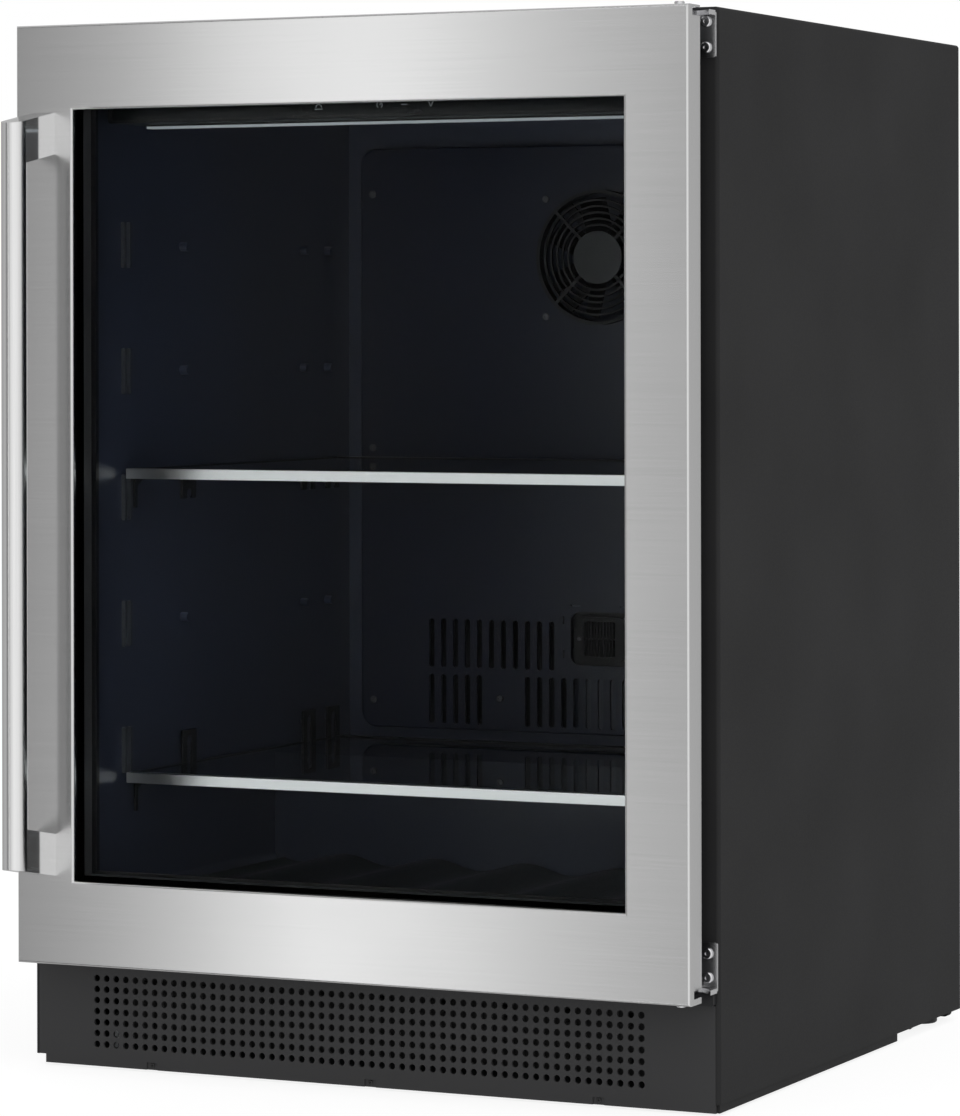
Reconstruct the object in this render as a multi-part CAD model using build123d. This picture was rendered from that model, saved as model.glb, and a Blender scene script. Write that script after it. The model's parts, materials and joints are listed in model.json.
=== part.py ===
from build123d import *
import math
import os

# Undercounter refrigerator with a right-hinged glass door, a pull handle, two glass shelves,
# a bottle cradle, a touch control strip and a front-vented machine compartment.
# Millimetres. +Z is up, the door faces -Y, and the hinges are at +X.
# The origin is on the floor, in the middle of the whole object's width and depth.

# ---- driving dimensions ----
cabinet_width = 610.0
cabinet_depth = 553.0
cabinet_top = 854.0
door_width = 595.0
door_bottom = 89.5
door_top = cabinet_top
handle_reach = 56.0            # from the door's front to the front of the handle
door_stack = 41.0              # from the door's front to the cabinet's front
wrap_depth = 23.0              # how far the door's steel skin wraps back
window_left_margin = 52.9
window_right_margin = 54.5
window_top_margin = 69.5
window_bottom_margin = 68.6
window_return = 7.0            # depth of the bright return around the window
sight_gaps = (1.0, 2.5)        # spacer and inner frame stand this far above the window's top edge
window_bend = 2.2              # radius of the bend between the door's face and the return

steel = 1.0                    # sheet thickness of the wrapper
door_steel = 1.2               # sheet thickness of the door skin
liner_wall = 2.0
side_bottom = 9.0              # lower edge of the side panels
pan_bottom = 11.0              # underside of the base pan
plinth_bottom = 2.2
grille_step = 9.2              # the grille's foot is narrower on the left below this height
grille_top = 85.0
grille_thickness = 2.5
grille_screw_height = 5.8
foot_inset = 9.8
grille_screw_columns = (-195.0, 4.0, 203.0)

cavity_half = 257.5
cavity_floor = 132.5
cavity_ceiling = 809.5
cavity_back = 251.0
hump_front = 105.0             # front face of the compressor hump in the cavity
hump_top = 226.5
foam_floor = 100.0
machine_front = 137.0          # front wall of the machine compartment
machine_top = 195.0

hinge_inset = 14.0             # pin axis, from the door's right edge
hinge_setback = 16.0           # pin axis, from the door's front
pin_radius = 4.0
leaf_thickness = 3.8
leaf_heights = {"top": 757.6, "bottom": 6.0}                # above the door's lower edge
plate_spans = {"top": (724.8, 761.4), "bottom": (6.0, 45.0)}
bracket_screws = {"top": (752.9, 732.9), "bottom": (36.2, 17.5)}
bracket_screw_x = 296.1
bracket_thickness = 2.5
leaf_clearance = 1.3
bushing_length = 17.5
bushing_heights = (738.0, 12.2)
bushing_radius = 6.0
running_gap = 0.05
fit_gap = 0.3

# ---- derived planes ----
overall_depth = handle_reach + door_stack + cabinet_depth
front_plane = -overall_depth / 2
door_front = front_plane + handle_reach
door_back = door_front + wrap_depth
cabinet_front = door_front + door_stack
cabinet_back = cabinet_front + cabinet_depth
half_width = cabinet_width / 2
door_half = door_width / 2
window_left = -door_half + window_left_margin
window_right = door_half - window_right_margin
window_top = door_top - window_top_margin
window_bottom = door_bottom + window_bottom_margin
pin_x = door_half - hinge_inset
pin_y = door_front + hinge_setback
rear_plane = cabinet_back - 3.5   # front face of the rear sheets

# ---- cavity fittings ----
fan_z = 669.3
fan_screw_offset = 52.5
guard_radius = 60.0
guard_opening = 56.8           # inside the guard's outer ring
guard_hub_radius = 23.5
guard_rings = (29.0, 34.5, 40.0, 45.5, 51.0)
guard_bar = 1.8                # width of each thin ring
guard_lug_radius = 6.0
cover_front = 236.0
cover_thickness = 2.5
cover_half = 238.0
cover_bottom = 244.5
cover_top = 769.5
cover_corner = 15.0
cover_edge_radius = 1.5
vent_pitch = 11.9
vent_width = 5.4
upper_vents = (300.5, 344.5)
lower_vents = (249.5, 294.5)
sensor_half = 29.0
sensor_low = 306.0
sensor_high = 354.0
sensor_middle = (sensor_low + sensor_high) / 2
sensor_screw_x = -19.6
rib_pitch = 105.2
rib_first = 255.8
rib_height = 38.0
rib_levels = 5
peg_radius = 4.0
peg_length = 7.0
peg_depths = (-64.0, 157.0, 204.0)
shelf_front = -169.0
shelf_back = 221.0
shelf_glass_half = 249.5
shelf_half = 252.0
trim_depth = 12.0
shelf_tops = (489.5, 236.5)
lamp_half = 225.5
lamp_top = 773.9
lamp_thickness = 1.9
shelf_levels = (2, 0)

# ---- handle ----
tube_radius = 10.75
handle_x = -door_half + 25.6
tube_y = front_plane + tube_radius
tube_low = 170.0
tube_high = 774.5
post_height = 34.0
post_lean = 8.2
post_reach = handle_reach - tube_radius      # from the door's front to the bar's axis
post_screw_radius = 2.0


def block(x, y, z):
    """Box between two limits on each axis."""
    (x0, x1), (y0, y1), (z0, z1) = x, y, z
    middle = ((x0 + x1) / 2, (y0 + y1) / 2, (z0 + z1) / 2)
    return Pos(*middle) * Box(x1 - x0, y1 - y0, z1 - z0)


def rod(start, direction, radius, length, end_fillet=0.0):
    """Round bar from a start point along a direction."""
    bar = Solid.extrude(Face(Wire(Edge.make_circle(radius, Plane(start, z_dir=direction)))),
                        Vector(*direction).normalized() * length)
    if end_fillet:
        bar = bar.fillet(end_fillet, [bar.edges().sort_by(Axis(start, direction))[-1]])
    return Part() + bar


def ring(start, direction, outer, inner, length):
    """Tube or washer from a start point along a direction."""
    return rod(start, direction, outer, length) - rod(start, direction, inner, length)


def pill(x, z, width, height, y0, y1):
    """Upright slot with round ends, as a solid from y0 to y1."""
    plane = Plane((x, y0, z), x_dir=(0, 0, 1), z_dir=(0, 1, 0))
    return extrude(plane * SlotOverall(height, width), y1 - y0)


def panel(x, y, z, radius):
    """Plate standing in the XZ plane with rounded corners."""
    (x0, x1), (y0, y1), (z0, z1) = x, y, z
    plane = Plane(((x0 + x1) / 2, y0, (z0 + z1) / 2), x_dir=(1, 0, 0), z_dir=(0, -1, 0))
    return extrude(plane * RectangleRounded(x1 - x0, z1 - z0, radius), -(y1 - y0))


def frame_ring(x, y, z, border, radius):
    """Rectangular frame standing in the XZ plane."""
    inner_x = (x[0] + border, x[1] - border)
    inner_z = (z[0] + border, z[1] - border)
    hole_y = (y[0] - 1, y[1] + 1)
    return panel(x, y, z, radius) - block(inner_x, hole_y, inner_z)


def screw(point, direction, head_radius=4.2, head_height=2.2, shank_radius=2.0, shank=9.0):
    """Pan-head screw: the point is under the head, the direction is out of the head."""
    head = rod(point, direction, head_radius, head_height, head_height * 0.55)
    back = tuple(-c for c in direction)
    body = head + rod(point, back, shank_radius, shank)
    recess_start = tuple(p + d * (head_height - 1.0) for p, d in zip(point, direction))
    cross = rod(recess_start, direction, head_radius * 0.36, 2.0)
    return body - cross


def mirrored(shape):
    """The shape and its mirror image across the middle plane."""
    return [shape, mirror(shape, Plane.YZ)]


# ---- cabinet shell ----

def outer_wrapper():
    """Bent steel sheet: both sides, the top and the narrow front flange."""
    corner = 3.0
    flange = 22.0
    outer = block((-half_width, half_width), (cabinet_front, cabinet_back), (side_bottom, cabinet_top))
    front_edges = outer.edges().group_by(Axis.Y)[0].filter_by(lambda e: e.center().Z > side_bottom + 1)
    top_edges = outer.edges().filter_by(Axis.Y).group_by(Axis.Z)[-1]
    outer = fillet(front_edges + top_edges, corner)
    inner = block((-half_width + steel, half_width - steel),
                  (cabinet_front + steel, cabinet_back + 5),
                  (side_bottom - 5, cabinet_top - steel))
    front_edges = inner.edges().group_by(Axis.Y)[0].filter_by(lambda e: e.center().Z > side_bottom)
    top_edges = inner.edges().filter_by(Axis.Y).group_by(Axis.Z)[-1]
    inner = fillet(front_edges + top_edges, corner - steel)
    mouth = block((-half_width + flange, half_width - flange),
                  (cabinet_front - 5, cabinet_front + 5),
                  (foam_floor - 12, cabinet_top - flange))
    grille_gap = block((-half_width + corner + 0.3, half_width - corner - 0.3),
                       (cabinet_front - 5, cabinet_front + 5),
                       (side_bottom - 5, foam_floor - 12))
    return outer - inner - mouth - grille_gap


def rear_panel():
    """Flat steel back of the cabinet, with two shallow pressed ribs."""
    sheet = block((-half_width + 2, half_width - 2), (rear_plane, rear_plane + steel),
                  (machine_top + 22, cabinet_top - 2))
    for z in (cabinet_top - 60, machine_top + 80):
        sheet += block((-240, 240), (rear_plane + steel, rear_plane + 2.2), (z - 9, z + 9))
    return sheet - rear_screw_holes()


def rear_cover():
    """Removable louvred cover over the machine compartment."""
    sheet = block((-half_width + 6, half_width - 6), (rear_plane, rear_plane + steel), (20, machine_top + 21))
    for row in range(4):
        for column in range(-10, 11):
            x = column * 22.0
            z = 55.0 + row * 38.0
            if row == 0 and x > 200:
                continue
            sheet -= pill(x, z, 5.0, 28.0, rear_plane - 1, rear_plane + 3)
    inlet_hole = block((224, 256), (rear_plane - 1, rear_plane + 3), (44, 68))
    return sheet - inlet_hole - rear_screw_holes()


def rear_screw_places():
    """Screw centres on the back: three rows on the cover, three on the panel."""
    return [(x, z) for x in (-285, 285) for z in (32, 120, 205, 420, 640, 840)]


def rear_screw_holes():
    """Cutters for the screw holes in the rear sheets."""
    holes = Part()
    for x, z in rear_screw_places():
        holes += rod((x, rear_plane - 1, z), (0, 1, 0), 2.0, 3)
    return holes


def rear_screws():
    """Screws that hold the rear panel and its cover."""
    return [screw((x, rear_plane + steel, z), (0, 1, 0), 4.0, 2.0, 1.8, 1.0) for x, z in rear_screw_places()]


def liner():
    """Vacuum-formed cavity liner with the compressor hump, the coil recess and the sealing flange."""
    corner = 12.0

    def hollow(grow):
        body = block((-cavity_half - grow, cavity_half + grow), (cabinet_front - 40, cavity_back + grow),
                     (cavity_floor - grow, cavity_ceiling + grow))
        body = fillet(body.edges().filter_by(Axis.Y), corner + grow)
        recess = block((-215 - grow, 215 + grow), (cavity_back - 20, 288 + grow), (370 - grow, 748 + grow))
        hump = block((-400, 400), (hump_front + grow, 400), (0, hump_top - grow))
        return body + recess - hump

    flange = panel((-280.7, 280.7), (cabinet_front, cabinet_front + liner_wall), (112.3, 831.7), 6)
    keep = block((-400, 400), (cabinet_front, 400), (0, 900))
    return (flange + (hollow(liner_wall) & keep)) - hollow(0)


def foam():
    """Foamed-in-place insulation between the liner and the steel."""
    corner = 14.0
    body = block((-half_width + 1.7, half_width - 1.7), (cabinet_front + 2.0, rear_plane),
                 (foam_floor + 12, cabinet_top - 1.7))
    tunnel = block((-cavity_half - 2, cavity_half + 2), (cabinet_front - 40, cavity_back + 2),
                   (cavity_floor - 2, cavity_ceiling + 2))
    tunnel = fillet(tunnel.edges().filter_by(Axis.Y), corner)
    recess = block((-217, 217), (cavity_back - 20, 290), (368, 750))
    hump = block((-400, 400), (hump_front + 2, 400), (0, hump_top - 2))
    machine = block((-400, 400), (machine_front - 1.5, 400), (0, machine_top))
    return body - (tunnel + recess - hump) - machine


def front_rail():
    """Steel cross-member below the cavity mouth."""
    rail = block((-half_width + 3.2, half_width - 3.2), (cabinet_front + 1.2, cabinet_front + 26),
                 (foam_floor - 11.7, foam_floor + 12))
    return rail - block((-half_width, half_width), (cabinet_front + 2.7, cabinet_front + 24.5),
                        (foam_floor - 10.2, foam_floor + 10.5))


def machine_ceiling():
    """Steel floor under the insulation and the walls of the machine compartment."""
    side = half_width - 1.7
    floor = block((-side, side), (cabinet_front + 26.3, machine_front), (foam_floor + 10.5, foam_floor + 12))
    wall = block((-side, side), (machine_front - 1.5, machine_front), (foam_floor + 12, machine_top))
    return floor + wall


def base_pan():
    """Bottom pan with two openings for the rear rollers."""
    side = half_width - 1.5
    pan = block((-side, side), (cabinet_front + 4, rear_plane - 0.5), (pan_bottom, pan_bottom + 1.5))
    pan += block((-side, side), (rear_plane - 2.5, rear_plane - 0.5), (pan_bottom + 1.5, 30))
    for x in roller_places():
        pan -= block((x - 15, x + 15), (230, 268), (0, 40))
    for x, y in foot_places().values():
        pan += rod((x, y, pan_bottom), (0, 0, 1), 9.0, 18)
        pan -= rod((x, y, pan_bottom - 2), (0, 0, 1), 4.0, 30)
    return pan


def plinth_rails():
    """Low skid rails under the front and the sides of the cabinet."""
    z = (plinth_bottom, pan_bottom - 0.1)
    outside, inside = half_width - 1.2, half_width - 16
    back = 169
    front = block((-half_width + foot_inset, inside - 0.1),
                  (cabinet_front + grille_thickness + 0.2, cabinet_front + 16), z)
    right = block((inside, outside), (cabinet_front + grille_thickness + 0.4, back), z)
    left = block((-outside, -inside), (cabinet_front + 60, back), z)
    return [front, right, left]


def rear_skid():
    """Turned-down rear lip of the base."""
    return panel((-298, 298), (cabinet_back - 12, cabinet_back - 3), (2.7, pan_bottom - 0.1), 3.5)


def kick_grille():
    """Perforated front panel: 55 by 7 round holes on a square pitch, above a plain foot."""
    side = half_width - 3.5
    columns, rows, pitch, hole = 55, 7, 9.0, 2.75
    first_x, middle_z = -246.6, 47.3
    plane = Plane((first_x + pitch * (columns - 1) / 2, cabinet_front, middle_z),
                  x_dir=(1, 0, 0), z_dir=(0, -1, 0))
    face = plane * Pos(-plane.origin.X, (grille_step + grille_top) / 2 - middle_z) * \
        Rectangle(2 * side, grille_top - grille_step)
    holes = plane * GridLocations(pitch, pitch, columns, rows) * Circle(hole)
    plate = extrude(face - holes, -grille_thickness)
    plate += block((-half_width + foot_inset, side), (cabinet_front, cabinet_front + grille_thickness),
                   (plinth_bottom, grille_step))
    for x in grille_screw_columns:
        plate -= block((x - 5, x + 5), (cabinet_front - 1, cabinet_front + 1.2),
                       (plinth_bottom - 1, grille_screw_height + 2.4))
        plate -= rod((x, cabinet_front, grille_screw_height), (0, 1, 0), 1.0, 5)
    return plate


def grille_screws():
    """Small screws in the notches at the foot of the grille."""
    return [screw((x, cabinet_front + 1.2, grille_screw_height), (0, -1, 0), 1.9, 1.0, 0.9, 0.9)
            for x in grille_screw_columns]


# ---- hinges ----

def hinge_bracket(end):
    """Angle bracket: an upright leaf on the cabinet and a tongue into the door's edge."""
    edge = half_width - 1.2
    leaf_low = door_bottom + leaf_heights[end]
    leaf_z = (leaf_low, leaf_low + leaf_thickness)
    plate_z = tuple(door_bottom + z for z in plate_spans[end])
    plate = panel((pin_x - 6.5, edge), (cabinet_front - bracket_thickness, cabinet_front), plate_z, 2.0)
    leaf = block((pin_x - 5, edge), (pin_y, cabinet_front - bracket_thickness), leaf_z)
    door_sweep = rod((pin_x, pin_y, leaf_z[0] - 5), (0, 0, 1), 22.4, 15)
    tongue = block((pin_x - 5, pin_x + 5), (pin_y, cabinet_front - 1), leaf_z)
    tongue += rod((pin_x, pin_y, leaf_z[0]), (0, 0, 1), 5.0, leaf_thickness)
    bracket = plate + (leaf - door_sweep) + tongue
    bore = rod((pin_x, pin_y, leaf_z[0] - 1), (0, 0, 1), pin_radius, 8)
    for z in bracket_screws[end]:
        bore += rod((bracket_screw_x, cabinet_front - 6, door_bottom + z), (0, 1, 0), 2.6, 10)
    return bracket - bore


def hinge_pins():
    """Two hinge pins pressed into the brackets."""
    upper = rod((pin_x, pin_y, door_top - 26), (0, 0, 1), pin_radius, 29, 1.0)
    lower = rod((pin_x, pin_y, door_bottom + 26), (0, 0, -1), pin_radius, 29, 1.0)
    return [upper, lower]


def hinge_screws():
    """Four screws that hold the brackets."""
    face = cabinet_front - bracket_thickness
    shank = bracket_thickness - 0.2
    return [screw((bracket_screw_x, face, door_bottom + z), (0, -1, 0), 4.4, 2.2, 2.4, shank)
            for end in bracket_screws for z in bracket_screws[end]]


def hinge_pad():
    """Black block between the lower bracket and the grille."""
    return panel((278.0, 302.2), (cabinet_front - 6.5, cabinet_front - 0.1),
                 (grille_top + 0.6, door_bottom + 5.4), 1.5)


# ---- door ----

def door_skin():
    """Folded stainless face of the door, open at the back, with a return around the window."""
    corner = 2.0
    outer = block((-door_half, door_half), (door_front, door_back), (door_bottom, door_top))
    outer = fillet(outer.edges().group_by(Axis.Y)[0], corner)
    inner = block((-door_half + door_steel, door_half - door_steel), (door_front + door_steel, door_back + 5),
                  (door_bottom + door_steel, door_top - door_steel))
    lip = block((window_left - door_steel, window_right + door_steel),
                (door_front, door_front + window_return),
                (window_bottom - door_steel, window_top + door_steel))
    window = block((window_left, window_right), (door_front - 5, door_back), (window_bottom, window_top))
    skin = (outer - inner) + lip - window
    bends = skin.edges().filter_by(lambda e: abs(e.center().Y - door_front) < 0.01
                                   and abs(e.center().X) < door_half - 20
                                   and door_bottom + 20 < e.center().Z < door_top - 20)
    skin = fillet(bends, window_bend)
    for leaf_low in leaf_heights.values():
        slot_z = (door_bottom + leaf_low - leaf_clearance,
                  door_bottom + leaf_low + leaf_thickness + leaf_clearance)
        skin -= block((door_half - 5, door_half + 5), (door_front + 8.0, door_back + 5), slot_z)
    for z, direction in ((door_top - 5, 1), (door_bottom + 5, -1)):
        skin -= rod((pin_x, pin_y, z), (0, 0, direction), pin_radius + 0.6, 20)
    for z in handle_screw_heights():
        skin -= rod((handle_x, door_front - 5, z), (0, 1, 0), post_screw_radius + 0.2, 12)
    return skin


def inner_frame():
    """Black moulded frame behind the skin that carries the glass and the seal."""
    z = (door_bottom + 14.5, door_top - 14.5)
    front = door_front + window_return + 0.2
    back = cabinet_front - 9.0
    body = block((-door_half + 22, pin_x - 11.5), (front, back), z)
    glass_pocket = block((window_left - 10.2, window_right + 10.2), (front - 1, front + 20.3),
                         (window_bottom - 10.2, window_top + 10.2))
    opening = block((window_left + 6, window_right - 6), (front - 1, back + 1),
                    (window_bottom + 6, window_top + sight_gaps[1]))
    return body - glass_pocket - opening


def glass_pane(y0, thickness):
    """One pane of the sealed double glazing."""
    return block((window_left - 10, window_right + 10), (y0, y0 + thickness),
                 (window_bottom - 10, window_top + 10))


def glass_spacer(y0, depth):
    """Hollow spacer bar around the edge of the double glazing."""
    bar = block((window_left - 7, window_right + 7), (y0, y0 + depth), (window_bottom - 7, window_top + 7))
    hole = block((window_left + 4, window_right - 4), (y0 - 1, y0 + depth + 1),
                 (window_bottom + 4, window_top + sight_gaps[0]))
    return bar - hole


def door_gasket():
    """Magnetic seal on the back of the inner frame, just clear of the cabinet."""
    z = (door_bottom + 22, door_top - 22)
    return frame_ring((-door_half + 26, pin_x - 15), (cabinet_front - 9.0, cabinet_front - fit_gap), z, 12, 4)


def hinge_blocks():
    """Two reinforcing blocks in the door's corners, bored for the hinge bushings."""
    shapes = []
    for height in bushing_heights:
        z = (door_bottom + height, door_bottom + height + bushing_length)
        body = block((pin_x - 10.5, door_half - 1.4), (door_front + 1.6, door_back - 0.2), z)
        shapes.append(body - rod((pin_x, pin_y, z[0] - 1), (0, 0, 1), bushing_radius, bushing_length + 2))
    return shapes


def hinge_bushings():
    """Plastic bushings that turn on the pins."""
    return [ring((pin_x, pin_y, door_bottom + height), (0, 0, 1), bushing_radius, pin_radius + running_gap,
                 bushing_length) for height in bushing_heights]


def handle_tube():
    """Round pull bar with ends cut on the slant of the posts."""
    tube = rod((handle_x, tube_y, tube_low - 30), (0, 0, 1), tube_radius, tube_high - tube_low + 60)
    return tube & handle_envelope()


def handle_envelope():
    """Slanted band that trims the bar to the same end planes as the posts."""
    slope = post_lean / post_reach
    front, back = tube_y - 15.0, door_front + 20.0
    points = [(front, tube_high + slope * (front - tube_y)), (back, tube_high + slope * (back - tube_y)),
              (back, tube_low - slope * (back - tube_y)), (front, tube_low - slope * (front - tube_y))]
    plane = Plane((handle_x - 40, 0, 0), x_dir=(0, 1, 0), z_dir=(1, 0, 0))
    return extrude(plane * make_face(Polyline(*points, close=True)), 80)


def handle_screw_heights():
    """Heights of the screws in the middle of the two posts' feet."""
    return (tube_high + post_lean - post_height / 2, tube_low - post_lean + post_height / 2)


def handle_posts():
    """Two slanted posts between the bar and the door, scooped to the bar and tapped for their screws."""
    width = 2 * tube_radius
    plane = Plane((handle_x - tube_radius, 0, 0), x_dir=(0, 1, 0), z_dir=(1, 0, 0))
    bar = rod((handle_x, tube_y, tube_low - 60), (0, 0, 1), tube_radius, tube_high - tube_low + 120)
    shapes = []
    for z_axis, sign, screw_z in zip((tube_high, tube_low), (1, -1), handle_screw_heights()):
        foot = z_axis + sign * post_lean
        points = [(tube_y, z_axis), (door_front, foot),
                  (door_front, foot - sign * post_height), (tube_y, z_axis - sign * post_height)]
        post = extrude(plane * make_face(Polyline(*points, close=True)), width)
        tapping = rod((handle_x, door_front + 1, screw_z), (0, -1, 0), post_screw_radius + 0.1, 17)
        shapes.append(post - bar - tapping)
    return shapes


def handle_screws():
    """Screws from inside the door into the posts."""
    back = door_front + door_steel
    screws = []
    for z in handle_screw_heights():
        head = rod((handle_x, back, z), (0, 1, 0), 4.5, 3.0)
        screws.append(head + rod((handle_x, back, z), (0, -1, 0), post_screw_radius, 14))
    return screws


# ---- cavity fittings ----

def evaporator_cover():
    """Moulded cover of the cooling coil, with air slots and the fan opening, on its rim of side strips."""
    x, z = (-cover_half, cover_half), (cover_bottom, cover_top)
    cover = panel(x, (cover_front, cover_front + cover_thickness), z, cover_corner)
    cover = fillet(cover.edges().group_by(Axis.Y)[0], cover_edge_radius)
    cover -= rod((0, cover_front - 1, fan_z), (0, 1, 0), 58.0, 5)
    slots = Part()
    for k in range(4, 15):
        slots += mirrored(vent(k, upper_vents))
    for k in [*range(-6, 7)] + [*range(10, 15)] + [*range(-14, -9)]:
        slots += vent(k, lower_vents)
    for x, z in cover_screw_places():
        cover -= rod((x, cover_front - 1, z), (0, 1, 0), 1.7, 6)
    for x, z in fan_screw_places():
        cover -= rod((x, cover_front - 1, z), (0, 1, 0), 1.9, 6)
    return [cover - slots - sensor_hole()] + cover_rim()


def cover_rim():
    """Rim behind the cover's face: four straight strips and four rounded corners."""
    wall = 2.5
    y = (cover_front + cover_thickness, cavity_back - 0.1)
    outer = panel((-cover_half, cover_half), y, (cover_bottom, cover_top), cover_corner)
    rim = outer - panel((-cover_half + wall, cover_half - wall), (y[0] - 1, y[1] + 1),
                        (cover_bottom + wall, cover_top - wall), cover_corner - wall)
    columns = (-cover_half, -cover_half + cover_corner, cover_half - cover_corner, cover_half)
    rows = (cover_bottom, cover_bottom + cover_corner, cover_top - cover_corner, cover_top)
    strips = []
    for i in range(3):
        for j in range(3):
            if (i, j) != (1, 1):
                strips.append(rim & block(columns[i:i + 2], y, rows[j:j + 2]))
    return strips


def vent(k, span):
    """Cutter for one air slot, k pitches from the middle."""
    return pill(k * vent_pitch, sum(span) / 2, vent_width, span[1] - span[0],
                cover_front - 1, cover_front + 4)


def sensor_hole():
    """Rounded opening in the cover around the sensor box, with short slots beside its corners."""
    depth = (cover_front - 1, cover_front + 4)
    hole = panel((-sensor_half, sensor_half), depth, (sensor_low, sensor_high), 9)
    for z in (sensor_low + 10, sensor_high - 8):
        hole += block((-sensor_half - 7.4, -sensor_half - 6.0), depth, (z - 3.5, z + 3.5))
        hole += block((sensor_half + 6.0, sensor_half + 7.4), depth, (z - 3.5, z + 3.5))
    for x in (-24.0, 24.0):
        hole += block((x - 5, x + 5), depth, (sensor_high + 4.5, sensor_high + 5.9))
    return hole


def cover_screw_places():
    """Screw centres of the coil cover."""
    half = [(-225.5, 728.3), (-225.5, 498.0), (-225.5, 269.2), (-98.5, 274.2)]
    return half + [(-x, z) for x, z in half]


def fan_screw_places():
    """Centres of the four screws of the fan guard."""
    signs = [(a, b) for a in (-1, 1) for b in (-1, 1)]
    return [(a * fan_screw_offset, fan_z + b * fan_screw_offset) for a, b in signs]


def cover_screws():
    """Screws that hold the coil cover."""
    return [screw((x, cover_front, z), (0, -1, 0), 3.2, 1.6, 1.5, 2.0) for x, z in cover_screw_places()]


def fan_guard():
    """Round finger guard of the cavity fan: rings, spokes, a hub disc and four lugs behind the cover."""
    y0, depth = cover_front - 5.0, 2.0
    lug_front = cover_front + cover_thickness + 0.1
    centre = (0, y0, fan_z)
    guard = rod(centre, (0, 1, 0), guard_hub_radius, depth)
    guard += ring(centre, (0, 1, 0), guard_radius, guard_opening, 5.0)
    guard += ring((0, cover_front, fan_z), (0, 1, 0), 57.9, guard_opening, cover_thickness + 1.6)
    for radius in guard_rings:
        guard += ring(centre, (0, 1, 0), radius + guard_bar / 2, radius - guard_bar / 2, depth)
    for angle in (45, 135, 225, 315):
        spoke = block((guard_hub_radius - 2.5, guard_opening + 1.0), (y0, y0 + depth), (-1.5, 1.5))
        guard += Pos(0, 0, fan_z) * Rot(0, angle, 0) * spoke
    for x, z in fan_screw_places():
        arm = block((guard_opening + 0.4, 73), (lug_front, lug_front + 1.5), (-5, 5))
        angle = -math.degrees(math.atan2(z - fan_z, x))
        guard += rod((x, lug_front, z), (0, 1, 0), guard_lug_radius, 1.5)
        guard += Pos(0, 0, fan_z) * Rot(0, angle, 0) * arm
    for x, z in fan_screw_places():
        guard -= rod((x, cover_front, z), (0, 1, 0), 1.9, 12)
    return guard


def fan_screws():
    """Four screws at the corners of the fan guard."""
    return [screw((x, cover_front, z), (0, -1, 0), 3.2, 1.6, 1.7, 4.0) for x, z in fan_screw_places()]


def fan_rotor(centre, face_y, radius, hub_radius, depth, bore):
    """Axial fan rotor turning about +Y: a hub and seven pitched blades."""
    x, z = centre
    rotor = rod((x, face_y, z), (0, 1, 0), hub_radius, depth)
    for index in range(7):
        blade = block((hub_radius - 2, radius), (-0.8, 0.8), (-hub_radius * 0.62, hub_radius * 0.62))
        blade = Rot(38, 0, 0) * blade
        rotor += Pos(x, face_y + depth / 2, z) * Rot(0, 360 / 7 * index, 0) * blade
    keep = rod((x, face_y, z), (0, 1, 0), radius, depth)
    return (rotor & keep) - rod((x, face_y + 4, z), (0, 1, 0), bore, depth)


def evaporator_fan():
    """Cavity fan rotor."""
    return fan_rotor((0, fan_z), cover_front + 2, 54.0, 20.0, 18.0, 2.5 + running_gap)


def evaporator_fan_motor():
    """Cavity fan motor with its shaft and four struts."""
    y0 = cover_front + 20.5
    motor = rod((0, y0, fan_z), (0, 1, 0), 19.0, 20.0)
    motor += rod((0, y0, fan_z), (0, -1, 0), 2.5, 12.0)
    for angle in (45, 135, 225, 315):
        strut = block((17, 70), (y0 + 14, y0 + 18), (-4, 4))
        motor += Pos(0, 0, fan_z) * Rot(0, angle, 0) * strut
    return motor


def evaporator_fins():
    """Finned cooling coil in the recess behind the cover."""
    shapes = []
    for index in range(21):
        x = -190 + index * 19.0
        shapes.append(block((x - 0.4, x + 0.4), (246, 284), (388, 548)) - coil_tubes(4.2))
    return shapes


def coil_tubes(radius):
    """Straight tube runs of the cooling coil."""
    runs = Part()
    for row in range(5):
        for y in (256, 274):
            runs += rod((-200, y, 404 + row * 32), (1, 0, 0), radius, 400)
    return runs


def evaporator_tubes():
    """Serpentine tube through the fins."""
    return list(coil_tubes(4.0).solids())


def sensor_box():
    """Housing of the air sensor: a plate behind the cover and a box in its opening, with a finned window."""
    groove = 4.8
    box_x = (-sensor_half + groove, sensor_half - groove)
    box_z = (sensor_low + groove, sensor_high - groove)
    plate_y = (cover_front + cover_thickness + 4.0, cover_front + cover_thickness + 6.0)
    face = cover_front - 1.5
    body = panel((-sensor_half - 2, sensor_half + 2), plate_y, (sensor_low - 2, sensor_high + 2), 10)
    for x in (-sensor_half - 2, sensor_half):
        body += block((x, x + 2), (cover_front + cover_thickness, plate_y[1]),
                      (sensor_low + 15, sensor_high - 15))
    body += panel(box_x, (face, plate_y[0]), box_z, 6)
    window_x, window_z = (-15.2, 15.2), (sensor_low + 8.4, sensor_high - 8.4)
    body -= panel(window_x, (face - 1, face + 5.0), window_z, 2.5)
    for index in range(9):
        x = window_x[0] + 2.7 + index * 3.0
        body += block((x, x + 1.0), (face + 1.2, face + 5.0), window_z)
    body += block(window_x, (face + 1.6, face + 5.0), (sensor_middle - 0.6, sensor_middle + 0.6))
    return body - rod((sensor_screw_x, face - 1, sensor_middle), (0, 1, 0), 1.1, 5)


def sensor_screw():
    """Screw of the sensor box."""
    return screw((sensor_screw_x, cover_front - 1.5, sensor_middle), (0, -1, 0), 2.0, 1.2, 1.0, 2.0)


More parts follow.
